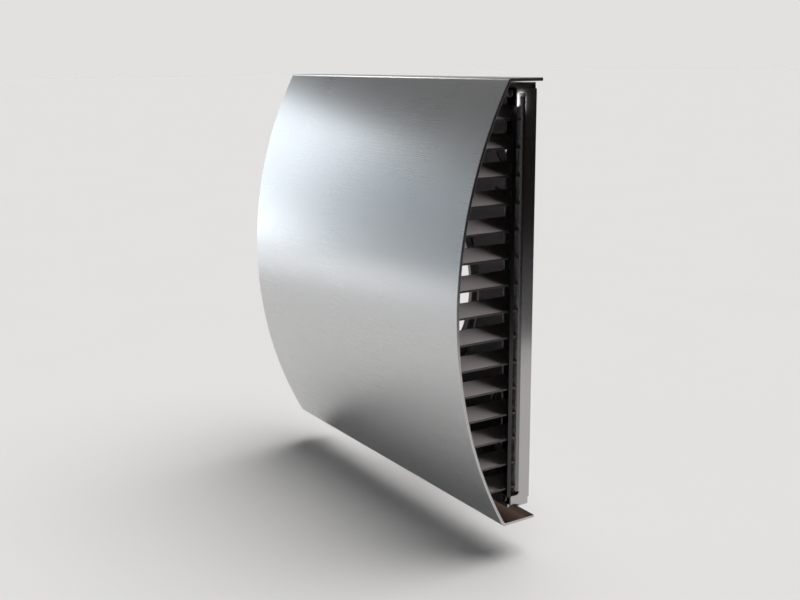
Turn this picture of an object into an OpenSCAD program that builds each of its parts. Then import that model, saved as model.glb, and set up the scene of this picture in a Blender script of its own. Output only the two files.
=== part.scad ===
// Wall hood for a round ventilation duct.
// X runs to the right, the front faces -Y and Z points up. The origin is the
// duct axis at the wall, so everything with a positive Y is inside the wall.

/* [Front cover] */
// Width of the cover, from side edge to side edge
cover_w = 270; // [250:1:340]
// Height of the cover, over its top and bottom flanges
cover_h = 275; // [260:1:340]
// Depth of the flanges, from the wall to the fold
cover_d = 24.9; // [22:0.1:36]
// Swell of the curved front past its two folds
cover_rise = 36.4; // [24:0.1:60]
// Thickness of the cover's sheet
cover_t = 2; // [1:0.1:2.5]
// Inner radius of the cover's folds
cover_fold_r = 0.6; // [0.3:0.1:2]
// Gap between the wall and the back edges of the cover and side panels
wall_gap = 0.3; // [0.1:0.1:1]

/* [Back pan] */
// Thickness of the pan and side panel sheet
frame_t = 1.5; // [1:0.1:2]
// Depth of the pan's top and bottom webs
pan_d = 15; // [13:0.1:18]
// Height of the lips folded from the front of the webs
pan_lip_h = 12; // [6:0.5:14]
// Gap between the cover's top flange and the pan, which the hooks fill
top_gap = 0.8; // [0.6:0.1:1.5]
// Drain gap between the cover's bottom flange and the pan
drain_gap = 5.3; // [2:0.1:8]
// Height of the tongue that hangs from each top corner of the pan
top_tab_h = 13.7; // [11:0.1:18]
// Height of the ear that stands on each bottom corner of the pan
bottom_tab_h = 8; // [6.5:0.1:9]
// Radius at the lower front corner of the bottom ear
bottom_tab_r = 6.5; // [2:0.1:7]
// Clearance between sheets that pass each other
sheet_gap = 0.3; // [0.2:0.05:0.5]

/* [Side panels] */
// Step from the cover's side edge in to the side panel
side_inset = 5.4; // [3:0.1:12]
// Depth of the side panel, from the wall to its folded web
panel_d = 11.1; // [9:0.1:12.5]
// Width of the web folded inwards
panel_web_w = 13; // [10:0.5:18]
// Outer radius of the fold
panel_fold_r = 2.7; // [2.2:0.1:3]
// Step from the top of the pan down to the top of the panel
panel_top_step = 3.5; // [1:0.1:5]
// Step from the bottom of the pan up to the bottom of the panel
panel_bottom_step = 5.3; // [1:0.1:6]
// Height of the arm that runs forward at the top
top_arm_h = 2.5; // [1.5:0.1:3.5]
// Height of the arm that runs forward at the bottom
bottom_arm_h = 3.1; // [1.5:0.1:3.5]
// Relief between an arm and the end of the fold
fold_relief = 2.2; // [1:0.1:3]
// Corner radius of the relief
relief_r = 2; // [0.5:0.1:2.5]

/* [Louvre] */
// Number of blades on each side
blade_count = 15; // [8:1:17]
// Gap between the lowest blade and the lip of the pan's bottom web
blade_gap_bottom = 1.5; // [0.5:0.1:8]
// Gap between the highest blade and the lip of the pan's top web
blade_gap_top = 0.6; // [0.3:0.1:8]
// How far each blade climbs from its outer edge to its inner edge
blade_rise = 8; // [4:0.1:9]
// How far each blade runs inwards as it climbs
blade_run = 5; // [3:0.1:6]
// Height of the drip lip under the outer edge
blade_lip = 1.2; // [0.5:0.1:2]
// Thickness of the blade sheet
blade_t = 0.8; // [0.5:0.1:1.2]
// Gap between a blade and the inside of the cover
blade_gap = 0.3; // [0.2:0.1:1]
// Start of a blade's end tab, as a share of its slope
tab_from = 0.5; // [0.45:0.05:0.6]
// End of a blade's end tab, as a share of its slope
tab_to = 0.9; // [0.75:0.05:0.95]
// How far the end tab stands out behind the side panel's web
tab_past = 0.3; // [0.1:0.1:1]

/* [Louvre posts] */
// Width of the post's outer leg
post_leg_w = 2.9; // [2:0.1:5]
// Sheet between the blades' inner edges and the edge of the post's web
post_edge = 1.8; // [1.5:0.1:4]
// Thickness of the post sheet
post_t = 1; // [0.8:0.1:1.5]
// Drop from the top of the side opening to the end of the outer leg
post_drop = 7.7; // [1:0.1:12]
// Distance from each end of the post to the pan's nearest web
post_seat = 3; // [1.6:0.1:5]
// Gap between the blades' outer edges and the post's outer leg
blade_clear = 0.2; // [0.2:0.05:0.5]
// Play around each blade in its slot
slot_play = 0.15; // [0.1:0.05:0.2]

/* [Duct spigot] */
// Outer radius of the spigot
spigot_r = 62.2; // [45:0.1:66]
// Wall of the spigot
spigot_t = 0.7; // [0.5:0.1:1.5]
// Length of the spigot behind the wall plane
spigot_l = 38; // [25:1:80]
// How far the stop ring for the duct stands out from the spigot
stop_h = 1; // [0.5:0.1:1.2]
// Width of the stop ring, with the slope at its back
stop_w = 2; // [1.5:0.1:4]
// Distance of the stop ring behind the wall plane
stop_past = 2.4; // [2.3:0.1:4]
// How much wider the spigot's mouth is than its bore, all round
mouth_w = 10; // [8:0.5:11]
// How far behind the wall plane the mouth has narrowed to the bore
mouth_past = 1.5; // [1:0.1:1.8]
// Width of the collar that holds the spigot on its plate
collar_w = 6; // [4:0.5:9]
// Width of the spigot plate
plate_w = 207; // [204:1:210]
// Height of the spigot plate
plate_h = 240; // [236:1:244]
// Corner radius of the spigot plate
plate_r = 7; // [5:0.5:8]
// Radius of the notches in the plate's sides, round the wall screw holes
notch_r = 9; // [8:0.5:10]
// Thickness of the spigot plate
plate_t = 1.5; // [1:0.1:2]
// Length of the lead-in taper outside the far end of the spigot
spigot_taper = 4; // [1:0.5:8]
// Play between the spigot's mouth and its plate
spigot_play = 0.2; // [0.1:0.05:0.5]
// Play between the spigot's mouth and the back of the pan
pan_play = 1.3; // [0.5:0.1:3]

/* [Fixings] */
// Spacing of the wall screw holes, across
wall_hole_across = 207; // [205:1:209]
// Spacing of the wall screw holes, up
wall_hole_up = 189; // [187:1:191]
// Radius of the wall screw holes
wall_hole_r = 3.25; // [2.2:0.05:3.5]
// Shank radius of the rivets
rivet_r = 1.6; // [1.2:0.1:1.8]
// Head radius of the rivets
rivet_head_r = 2.6; // [2.2:0.1:2.8]
// Height of the rivet heads
rivet_head_h = 0.9; // [0.6:0.1:1.5]
// Distance of the plate's rivets from its edge
rivet_inset = 8; // [6:0.5:12]
// Width of each hook that carries the cover
hook_w = 20; // [10:1:30]
// How far each hook reaches back under the pan's top web
hook_reach = 4.8; // [3:0.1:6]
// Length of each hook's foot, welded under the cover's top flange
hook_weld = 6; // [4:0.1:7]
// Play around each hook in its slot
hook_play = 0.5; // [0.2:0.1:1]
// Distance of the hooks and screws from the ends of the cover
fixing_inset = 55; // [40:1:85]
// Outer radius of the threaded spacers under the pan
spacer_r = 4; // [3.2:0.1:5]
// Thread radius of the cover screws
screw_r = 2; // [1.5:0.1:2.2]
// Head radius of the cover screws
screw_head_r = 3.6; // [3:0.1:3.9]
// How far the cover screws stand out above the pan's bottom web
screw_past = 2; // [1:0.1:4]
// Radius of the hexagon socket in the cover screws, over its corners
socket_r = 1.25; // [0.8:0.05:1.4]
// Depth of the hexagon socket
socket_depth = 1; // [0.5:0.1:1.4]
// Play between a cover screw and its thread
thread_play = 0.02; // [0.01:0.01:0.05]
// Play around rivets and screws in their holes
hole_play = 0.1; // [0.05:0.05:0.2]

/* [Hidden] */
$fn = 96;
eps = 0.01;

// The cover's front is an arc whose chord is the height of the cover
arc_r = (pow(cover_h / 2, 2) + pow(cover_rise, 2)) / (2 * cover_rise);
arc_y = arc_r - cover_d - cover_rise;
fixing_x = cover_w / 2 - fixing_inset;

// Pan and side panels
pan_top = cover_h / 2 - cover_t - top_gap;
pan_bottom = -cover_h / 2 + cover_t + drain_gap;
side_x = cover_w / 2 - side_inset;
pan_x = side_x - frame_t;
panel_top = pan_top - panel_top_step;
panel_bottom = pan_bottom + panel_bottom_step;
window_top = panel_top - top_arm_h;
window_bottom = panel_bottom + bottom_arm_h;
window_back = -(panel_d - panel_fold_r);
window_r = min(relief_r, fold_relief);
fold_top = window_top - fold_relief;
fold_bottom = window_bottom + fold_relief;

// The top tongue passes in front of the side panel's web
tongue_r = (pan_d - panel_d - sheet_gap) / 2;

// Blades, spread evenly between the lips of the pan
blade_x = side_x - post_t - blade_clear;
blade_first_z = pan_bottom + pan_lip_h + blade_gap_bottom + blade_lip;
blade_last_z = pan_top - pan_lip_h - blade_gap_top - blade_rise;
blade_pitch = (blade_last_z - blade_first_z) / (blade_count - 1);
blade_slope = norm([blade_run, blade_rise]);
blade_dir = [-blade_run, blade_rise] / blade_slope;
blade_out = [blade_rise, blade_run] / blade_slope;

// Posts stand on the front of the pan's lips
post_y = -pan_d;
post_top = window_top - post_drop;
post_bottom = window_bottom;
post_web_w = post_t + blade_clear + blade_run + post_edge;
post_rivet_x = side_x - post_web_w + rivet_head_r + hole_play;

// Spigot plate, on the front of the pan's back
plate_y = -frame_t;
plate_rivet_x = plate_w / 2 - rivet_inset;
plate_rivet_z = 0.71 * plate_rivet_x;

// Mouth of the spigot: its inside is a cone from the collar's face to the bore
bore_r = spigot_r - spigot_t;
collar_face = plate_y - plate_t - spigot_t;
mouth_slope = mouth_w / (mouth_past - collar_face);
mouth_wall = spigot_t * norm([1, mouth_slope]);
function mouth_outer_r(y) = bore_r + (mouth_past - y) * mouth_slope + mouth_wall;

// Hooks and screws of the cover
hook_t = top_gap;
hook_y = -(pan_d - frame_t - hole_play - 2 * hook_play - hook_reach);
screw_y = -pan_d / 2;

function blade_z(k) = blade_first_z + k * blade_pitch;

// Point where blade k folds, at a given depth inside its outer face
function blade_fold(k, depth) = [
    blade_x - depth,
    blade_z(k) - blade_out[1] * depth - depth * (1 - blade_out[0]) * blade_dir[1] / blade_dir[0]
];

function two_digits(n) = str(n < 10 ? "0" : "", n);
function blade_names(side) = [for (k = [1:blade_count]) str("blade_", side, "_", two_digits(k))];

// Extrudes a drawing of Y and Z along X, centred on the middle
module across(width) {
    rotate([90, 0, 90])
        linear_extrude(width, center = true)
            children();
}

// Extrudes a drawing of X and Z from y_front back to y_back
module front_to_back(y_front, y_back) {
    translate([0, y_back, 0])
        rotate([90, 0, 0])
            linear_extrude(y_back - y_front)
                children();
}

module on_left() {
    mirror([1, 0, 0])
        children();
}

// Outline of the cover in Y and Z, drawn a given depth inside its outer face
module cover_outline(inset, fold_r, back) {
    r = arc_r - inset;
    z = cover_h / 2 - inset;
    fold_z = z - fold_r;
    fold_y = arc_y - sqrt(pow(r - fold_r, 2) - pow(fold_z, 2));
    arc_angle = asin(fold_z / (r - fold_r));
    on_arc = [arc_y - r * cos(arc_angle), r * sin(arc_angle)];
    corner = [on_arc[0] - fold_r, z + fold_r];

    difference() {
        intersection() {
            translate([arc_y, 0])
                circle(arc_r - inset, $fn = 360);
            translate([-cover_d - cover_rise - 1, -z])
                square([cover_d + cover_rise + 1 + back, 2 * z]);
        }
        for (side = [-1, 1])
            scale([1, side])
                polygon([[fold_y, fold_z], [fold_y, z + fold_r], corner, on_arc]);
    }
    for (side = [-1, 1])
        intersection() {
            translate([fold_y, side * fold_z])
                circle(fold_r);
            scale([1, side])
                polygon([[fold_y, fold_z], [fold_y, z + fold_r], corner, on_arc]);
        }
}

// One folded sheet: a curved front with a straight flange at top and bottom
module front_cover() {
    color("#b4b8ba")
        difference() {
            across(cover_w)
                difference() {
                    cover_outline(0, cover_t + cover_fold_r, -wall_gap);
                    cover_outline(cover_t, cover_fold_r, 1);
                }
            for (side = [-1, 1])
                translate([side * fixing_x, screw_y, -cover_h / 2])
                    screw_seat();
        }
}

// Countersink for a cover screw, through the bottom flange
module screw_seat() {
    translate([0, 0, -eps])
        cylinder(h = screw_head_r - screw_r + eps, r1 = screw_head_r + hole_play, r2 = screw_r + hole_play);
    cylinder(h = cover_t + eps, r = screw_r + hole_play);
}

// Section of a web with its lip and part of the back, in Y and Z
module web_section() {
    translate([-pan_d, -frame_t])
        square([pan_d, frame_t]);
    translate([-pan_d, -pan_lip_h])
        square([frame_t, pan_lip_h]);
}

// One folded sheet against the wall: back, top web and bottom web
module back_pan() {
    color("#8f9496") {
        difference() {
            union() {
                front_to_back(-frame_t, 0)
                    translate([-pan_x, pan_bottom])
                        square([2 * pan_x, pan_top - pan_bottom]);
                translate([0, 0, pan_top])
                    across(2 * (pan_x - frame_t))
                        web_section();
                translate([0, 0, pan_bottom])
                    mirror([0, 0, 1])
                        across(2 * (pan_x - frame_t))
                            web_section();
                for (side = [-1, 1])
                    translate([side * (pan_x - frame_t / 2), 0, 0])
                        across(frame_t) {
                            top_tab();
                            bottom_tab();
                        }
            }
            translate([0, eps, 0])
                rotate([90, 0, 0])
                    cylinder(h = frame_t + 2 * eps, r = mouth_outer_r(plate_y) + pan_play);
            wall_holes();
            rivet_row(rivet_r + hole_play, frame_t);
            for (side = [-1, 1])
                translate([side * fixing_x, 0, 0]) {
                    hook_slot();
                    translate([0, screw_y, pan_bottom - eps])
                        cylinder(h = frame_t + 2 * eps, r = spacer_r - 1);
                }
            for (side = [-1, 1])
                post_rivet_pair(side, rivet_r + hole_play, -pan_d - eps, frame_t + 2 * eps);
        }
    }
}

// End of the top web, turned down: a tongue in front of the side panel's web
module top_tab() {
    translate([-pan_d, fold_top + sheet_gap])
        square([pan_d - frame_t, pan_top - fold_top - sheet_gap]);
    translate([-pan_d, pan_top - top_tab_h + tongue_r])
        square([2 * tongue_r, top_tab_h - tongue_r]);
    translate([-pan_d + tongue_r, pan_top - top_tab_h + tongue_r])
        circle(tongue_r);
}

// End of the bottom web, turned up, with its front corner rounded away
module bottom_tab() {
    intersection() {
        translate([-pan_d, pan_bottom])
            square([pan_d - frame_t, bottom_tab_h]);
        union() {
            translate([-pan_d + bottom_tab_r, pan_bottom])
                square([pan_d, bottom_tab_h]);
            translate([-pan_d, pan_bottom + bottom_tab_r])
                square([pan_d, bottom_tab_h]);
            translate([-pan_d + bottom_tab_r, pan_bottom + bottom_tab_r])
                circle(bottom_tab_r);
        }
    }
}

module wall_holes() {
    for (x = [-1, 1], z = [-1, 1])
        translate([x * wall_hole_across / 2, eps, z * wall_hole_up / 2])
            rotate([90, 0, 0])
                cylinder(h = frame_t + 2 * eps, r = wall_hole_r);
}

// Slot in the top web that a hook drops through before it is pushed back
module hook_slot() {
    translate([-hook_w / 2 - hook_play, hook_y - hook_reach - hook_play, pan_top - frame_t - eps])
        cube([hook_w + 2 * hook_play, hook_reach + 2 * hook_play, frame_t + 2 * eps]);
}

// Wall of the side panel in Y and Z: a C that opens to the front
module panel_outline() {
    difference() {
        translate([-pan_d, panel_bottom])
            square([pan_d - wall_gap, panel_top - panel_bottom]);
        translate([-pan_d - 1, window_bottom])
            square([pan_d + 1 + window_back - window_r, window_top - window_bottom]);
        translate([-pan_d - 1, window_bottom + window_r])
            square([pan_d + 1 + window_back, window_top - window_bottom - 2 * window_r]);
        for (z = [window_bottom + window_r, window_top - window_r])
            translate([window_back - window_r, z])
                circle(window_r);
    }
}

// Plan of the fold and the web at the back of the window, in X and Y
module fold_section() {
    difference() {
        union() {
            translate([side_x - panel_fold_r, -panel_d + panel_fold_r])
                intersection() {
                    circle(panel_fold_r);
                    translate([0, -panel_fold_r])
                        square(panel_fold_r);
                }
            translate([side_x - panel_web_w, -panel_d])
                square([panel_web_w - panel_fold_r, frame_t]);
        }
        translate([side_x - panel_fold_r, -panel_d + panel_fold_r])
            circle(panel_fold_r - frame_t);
    }
}

module side_panel() {
    color("#a4a9ab")
        difference() {
            union() {
                translate([side_x - frame_t / 2, 0, 0])
                    across(frame_t)
                        panel_outline();
                translate([0, 0, fold_bottom])
                    linear_extrude(fold_top - fold_bottom)
                        fold_section();
            }
            for (k = [0:blade_count - 1])
                front_to_back(-panel_d - eps, -panel_d + frame_t + eps)
                    blade_tab_section(k, slot_play);
        }
}

// Section of blade k in X and Z: a slope with a drip lip under its outer edge
module blade_section(k, grow) {
    foot = blade_z(k) - blade_lip - grow;
    tip = [blade_x, blade_z(k)] + (blade_slope + grow) * blade_dir;
    polygon([
        [blade_x + grow, foot], blade_fold(k, -grow),
        tip + grow * blade_out, tip - (blade_t + grow) * blade_out,
        blade_fold(k, blade_t + grow), [blade_x - blade_t - grow, foot]
    ]);
}

// Part of the slope that reaches through the side panel's web
module blade_tab_section(k, grow) {
    start = [blade_x, blade_z(k)];
    low = start + (blade_slope * tab_from - grow) * blade_dir;
    high = start + (blade_slope * tab_to + grow) * blade_dir;
    polygon([
        low + grow * blade_out, high + grow * blade_out,
        high - (blade_t + grow) * blade_out, low - (blade_t + grow) * blade_out
    ]);
}

// Blade k, cut to the inside of the cover at the front
module blade(k) {
    color("#9da1a3")
        union() {
            intersection() {
                front_to_back(-cover_d - cover_rise, -panel_d)
                    blade_section(k, 0);
                translate([0, arc_y, 0])
                    rotate([0, 90, 0])
                        cylinder(h = cover_w, r = arc_r - cover_t - blade_gap, center = true, $fn = 360);
            }
            front_to_back(-panel_d - eps, -panel_d + frame_t + tab_past)
                blade_tab_section(k, 0);
        }
}

// Angle that the blades are threaded through, riveted to the pan's lips
module louvre_post() {
    color("#7d8284")
        difference() {
            union() {
                front_to_back(post_y - post_t, post_y)
                    translate([side_x - post_web_w, pan_bottom + post_seat])
                        square([post_web_w, pan_top - pan_bottom - 2 * post_seat]);
                front_to_back(post_y - post_leg_w, post_y)
                    translate([side_x - post_t, post_bottom])
                        square([post_t, post_top - post_bottom]);
            }
            for (k = [0:blade_count - 1])
                front_to_back(post_y - post_t - eps, post_y + eps)
                    blade_section(k, slot_play);
            post_rivet_pair(1, rivet_r + hole_play, post_y - post_t - eps, post_t + 2 * eps);
        }
}

// Cylinders through the post and the lips of the pan, one above and one below
module post_rivet_pair(side, r, y, length) {
    for (z = [pan_bottom + pan_lip_h / 2, pan_top - pan_lip_h / 2])
        translate([side * post_rivet_x, y + length, z])
            rotate([90, 0, 0])
                cylinder(h = length, r = r);
}

module post_rivets() {
    color("#b9bdbf")
        for (side = [-1, 1]) {
            post_rivet_pair(side, rivet_r, post_y - post_t - eps, post_t + frame_t + eps);
            post_rivet_pair(side, rivet_head_r, post_y - post_t - rivet_head_h, rivet_head_h);
        }
}

module spigot_plate() {
    flat_x = plate_w / 2 - plate_r;
    flat_z = plate_h / 2 - plate_r;
    color("#9a9fa1")
        difference() {
            front_to_back(plate_y - plate_t, plate_y)
                difference() {
                    union() {
                        square([2 * flat_x, plate_h], center = true);
                        square([plate_w, 2 * flat_z], center = true);
                        for (x = [-flat_x, flat_x], z = [-flat_z, flat_z])
                            translate([x, z])
                                circle(plate_r);
                    }
                    for (x = [-1, 1], z = [-1, 1])
                        translate([x * wall_hole_across / 2, z * wall_hole_up / 2])
                            circle(notch_r);
                    circle(mouth_outer_r(plate_y - plate_t) + spigot_play, $fn = 180);
                }
            translate([0, plate_y, 0])
                rivet_row(rivet_r + hole_play, plate_t);
        }
}

// Cylinders round the rim of the spigot plate, from y = 0 forwards
module rivet_row(r, length) {
    for (turn = [0:90:270])
        rotate([0, turn, 0])
            for (z = [-1, 1])
                translate([plate_rivet_x, eps, z * plate_rivet_z])
                    rotate([90, 0, 0])
                        cylinder(h = length + 2 * eps, r = r);
}

module plate_rivets() {
    color("#b9bdbf") {
        translate([0, -eps, 0])
            rivet_row(rivet_r, frame_t + plate_t - eps);
        translate([0, plate_y - plate_t - eps, 0])
            rivet_row(rivet_head_r, rivet_head_h - eps);
    }
}

// Round spigot with a turned collar and a wide mouth in front, a stop ring for the duct, and
// a lead-in taper outside its far end
module duct_spigot() {
    front = plate_y - plate_t;
    collar_r = bore_r + mouth_w + collar_w;
    mouth_end = mouth_past + (mouth_wall - spigot_t) / mouth_slope;
    stop_end = stop_past + stop_w;
    color("#a9aeb0")
        rotate([-90, 0, 0])
            rotate_extrude($fn = 180)
                polygon([
                    [bore_r, mouth_past], [bore_r + mouth_w, collar_face], [collar_r, collar_face],
                    [collar_r, front], [mouth_outer_r(front), front], [spigot_r, mouth_end],
                    [spigot_r, stop_past], [spigot_r + stop_h, stop_past],
                    [spigot_r + stop_h, stop_end - stop_h], [spigot_r, stop_end],
                    [spigot_r, spigot_l - spigot_taper], [spigot_r - spigot_t / 2, spigot_l],
                    [bore_r, spigot_l]
                ]);
}

// Z-shaped hook under the top flange, reaching back under the pan's top web
module cover_hook() {
    flange_z = cover_h / 2 - cover_t;
    under_z = pan_top - frame_t - sheet_gap;
    color("#a9aeb0")
        translate([fixing_x, 0, 0])
            across(hook_w) {
                translate([hook_y - hook_weld, flange_z - hook_t])
                    square([hook_weld, hook_t]);
                translate([hook_y - hook_t, under_z - hook_t])
                    square([hook_t, flange_z - under_z + hook_t]);
                translate([hook_y - hook_t, under_z - hook_t])
                    square([hook_reach, hook_t]);
            }
}

// Threaded spacer pressed into the pan's bottom web, standing on the cover
module cover_spacer() {
    color("#b9bdbf")
        translate([fixing_x, screw_y, 0])
            difference() {
                union() {
                    translate([0, 0, pan_bottom - drain_gap])
                        cylinder(h = drain_gap, r = spacer_r);
                    translate([0, 0, pan_bottom - eps])
                        cylinder(h = frame_t + eps, r = spacer_r - 1);
                }
                translate([0, 0, pan_bottom - drain_gap - eps])
                    cylinder(h = drain_gap + frame_t + 2 * eps, r = screw_r);
            }
}

// Countersunk screw, flush with the underside of the cover
module cover_screw() {
    color("#b9bdbf")
        translate([fixing_x, screw_y, -cover_h / 2])
            difference() {
                union() {
                    cylinder(h = screw_head_r - screw_r, r1 = screw_head_r, r2 = screw_r);
                    cylinder(h = cover_t + drain_gap + frame_t + screw_past, r = screw_r - thread_play);
                }
                translate([0, 0, -eps])
                    cylinder(h = socket_depth + eps, r = socket_r, $fn = 6);
            }
}

front_cover();
back_pan();
side_panel();  // side_panel_right
on_left() side_panel();  // side_panel_left
louvre_post();  // louvre_post_right
on_left() louvre_post();  // louvre_post_left
spigot_plate();
duct_spigot();
plate_rivets();
post_rivets();
cover_hook();  // cover_hook_right
on_left() cover_hook();  // cover_hook_left
cover_spacer();  // cover_spacer_right
on_left() cover_spacer();  // cover_spacer_left
cover_screw();  // cover_screw_right
on_left() cover_screw();  // cover_screw_left
for (k = [0:blade_count - 1])
    blade(k);
for (k = [0:blade_count - 1])
    on_left() blade(k);
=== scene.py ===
"""Looks, studio and camera of a wall ventilation hood in folded stainless steel.

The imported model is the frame. The pieces that show most are made again as smooth
surfaces with eased edges, and the other folded sheets get eased copies of
themselves. Every size is in metres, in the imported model's own frame: X runs to
the right, -Y to the front, and the wall is the plane Y = 0.
"""

import logging
import math
from dataclasses import dataclass
from enum import Enum, IntEnum

import bmesh
import bpy
import numpy as np
from mathutils import Matrix, Vector


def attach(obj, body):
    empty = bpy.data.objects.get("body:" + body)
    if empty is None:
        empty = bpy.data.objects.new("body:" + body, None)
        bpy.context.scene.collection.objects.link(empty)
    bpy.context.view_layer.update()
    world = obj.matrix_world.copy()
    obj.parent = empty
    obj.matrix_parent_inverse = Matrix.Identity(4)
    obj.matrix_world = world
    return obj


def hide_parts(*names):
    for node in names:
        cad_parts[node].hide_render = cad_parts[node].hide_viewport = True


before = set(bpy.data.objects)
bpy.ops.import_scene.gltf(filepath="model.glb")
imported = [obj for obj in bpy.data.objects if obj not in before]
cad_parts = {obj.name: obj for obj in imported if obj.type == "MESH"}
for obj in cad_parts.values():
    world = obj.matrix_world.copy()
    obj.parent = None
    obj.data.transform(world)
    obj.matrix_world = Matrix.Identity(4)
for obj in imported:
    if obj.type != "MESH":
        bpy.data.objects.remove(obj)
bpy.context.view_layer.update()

log = logging.getLogger("ventilation_hood")
MM = 0.001
BORDER = 4  # places across the rounding of a sheet's border, one more than its facets
SAME_POINT = 1e-7  # points of a worked-out surface that are nearer than this are one
SAME_POINT_COPY = 1e-6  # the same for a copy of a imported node
SHARP_SURFACE = math.radians(38.0)  # faces of a worked-out surface that meet at more stay sharp
SHARP_COPY = math.radians(30.0)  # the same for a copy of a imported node
FLAT = math.radians(0.4)  # faces of such a copy that meet at less are one face
PATTERN = (0.3, 0.7)  # where a noise pattern's values mostly lie
MARKS = (0.60, 0.80)  # its highest values, which are the handling marks
Socket = bpy.types.NodeSocket
Key = int | str
Triple = tuple[float, float, float]


class Slot(Enum):
    """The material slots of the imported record."""

    COVER = "cover_stainless"
    FRAME = "frame_stainless"
    BLADE = "blade_stainless"
    POST = "post_stainless"
    DUCT = "duct_stainless"
    FIXING = "fixing_stainless"


class Grain(Enum):
    """Which way the steel's marks run: how much the pattern is squeezed along X, Y and Z."""

    ALONG_X = (0.004, 1.0, 1.0)
    ALONG_Y = (1.0, 0.004, 1.0)
    ALONG_Z = (1.0, 1.0, 0.004)
    EVEN = (1.0, 1.0, 1.0)


class Side(Enum):
    """The two ends of the hood, with the sign of X there."""

    RIGHT = 1
    LEFT = -1

    @property
    def word(self) -> str:
        """The side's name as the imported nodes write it."""
        return self.name.lower()


class CoverFace(IntEnum):
    """Finish numbers of the cover's faces."""

    OUTER = 0
    CUT = 1
    # The inner face and the sill are finishes that carry painted shade.
    INNER = 2
    SILL = 3


class BladeFace(IntEnum):
    """Finish numbers of a blade's faces."""

    STRIP = 0
    # The lip's finish carries painted shade.
    LIP = 1


class DuctFace(IntEnum):
    """Finish numbers of the spigot's faces."""

    OUTSIDE = 0
    # INSIDE carries painted shade.
    INSIDE = 1


@dataclass(frozen=True)
class Nodes:
    """A node tree that is put together value by value."""

    tree: bpy.types.NodeTree

    def add(self, kind: str, inputs: dict[Key, object], output: Key = 0, **settings: str) -> Socket:
        """Adds a node.

        Args:
            kind: Blender's name of the node's type.
            inputs: a number, colour or socket to link for each input, by its name or place.
            output: name or place of the output that is wanted.
            **settings: the node's other settings.

        Returns:
            That output.
        """
        node = self.tree.nodes.new(kind)
        for name, setting in settings.items():
            setattr(node, name, setting)
        for name, value in inputs.items():
            if isinstance(value, Socket):
                self.tree.links.new(value, node.inputs[name])
            else:
                node.inputs[name].default_value = value
        return node.outputs[output]

    def link(self, value: Socket, node: str, name: str) -> None:
        """Brings a value to an input of a node that the tree starts with."""
        self.tree.links.new(value, self.tree.nodes[node].inputs[name])

    def noise(self, place: Socket, scale: float, detail: float, fade: float) -> Socket:
        """A noise pattern: its waves a unit, its finer layers and how strong each of them is."""
        inputs = {"Vector": place, "Scale": scale, "Detail": detail, "Roughness": fade}
        return self.add("ShaderNodeTexNoise", inputs, "Fac")

    def ranged(
        self, value: Socket, span: tuple[float, float], low: float, high: float, curve: str = "LINEAR"
    ) -> Socket:
        """A value's span brought to low and high, and held there beyond its ends."""
        inputs = {"Value": value, "From Min": span[0], "From Max": span[1], "To Min": low, "To Max": high}
        return self.add("ShaderNodeMapRange", inputs, "Result", interpolation_type=curve)

    def combined(self, operation: str, first: Socket, second: Socket) -> Socket:
        """One value from two, by Blender's name of the operation."""
        return self.add("ShaderNodeMath", {0: first, 1: second}, operation=operation)

    def tinted(self, share: Socket, low: Triple, high: Triple) -> Socket:
        """A mix of two colours."""
        return self.add("ShaderNodeMix", {0: share, 6: (*low, 1.0), 7: (*high, 1.0)}, 2, data_type="RGBA")


@dataclass(frozen=True)
class StainlessFinish:
    """Stainless steel sheet: fine lines along the grain, soft clouding and faint handling marks."""

    name: str
    grain: Grain
    roughness: float
    steel: Triple = (0.60, 0.605, 0.61)
    tint_change: float = 0.02
    line_change: float = 0.008
    cloud_change: float = 0.008
    lines_per_metre: float = 5200.0
    clouds_per_metre: float = 16.0
    marks_per_metre: float = 112.0
    relief: float = 0.002
    relief_height: float = 0.02 * MM

    def material(self) -> bpy.types.Material:
        """Builds the node material.

        Returns:
            The material, patterned on Object coordinates.
        """
        material = bpy.data.materials.new(self.name)
        material.use_nodes = True
        nodes = Nodes(material.node_tree)
        shader = material.node_tree.nodes["Principled BSDF"]
        shader.inputs["Metallic"].default_value = 1.0
        place = nodes.add("ShaderNodeTexCoord", {}, "Object")
        squeeze = [s * self.lines_per_metre for s in self.grain.value]
        stretched = nodes.add("ShaderNodeMapping", {"Vector": place, "Scale": squeeze}, "Vector")
        lines = nodes.noise(stretched, 1.0, 2.0, 0.55)
        clouds = nodes.noise(place, self.clouds_per_metre, 3.0, 0.5)
        marks = nodes.noise(place, self.marks_per_metre, 4.0, 0.62)

        low, high = (tuple(c * k for c in self.steel) for k in (1 - self.tint_change, 1 + self.tint_change))
        nodes.link(nodes.tinted(lines, low, high), "Principled BSDF", "Base Color")

        smooth, rough = self.roughness - self.line_change, self.roughness + self.line_change
        from_lines = nodes.ranged(lines, PATTERN, smooth, rough)
        from_clouds = nodes.ranged(clouds, PATTERN, -self.cloud_change, self.cloud_change)
        from_marks = nodes.ranged(marks, MARKS, 0.0, self.cloud_change)
        total = nodes.combined("ADD", nodes.combined("ADD", from_lines, from_clouds), from_marks)
        nodes.link(total, "Principled BSDF", "Roughness")

        relief = {"Strength": self.relief, "Distance": self.relief_height, "Height": lines}
        nodes.link(nodes.add("ShaderNodeBump", relief, "Normal"), "Principled BSDF", "Normal")
        return material


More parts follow.
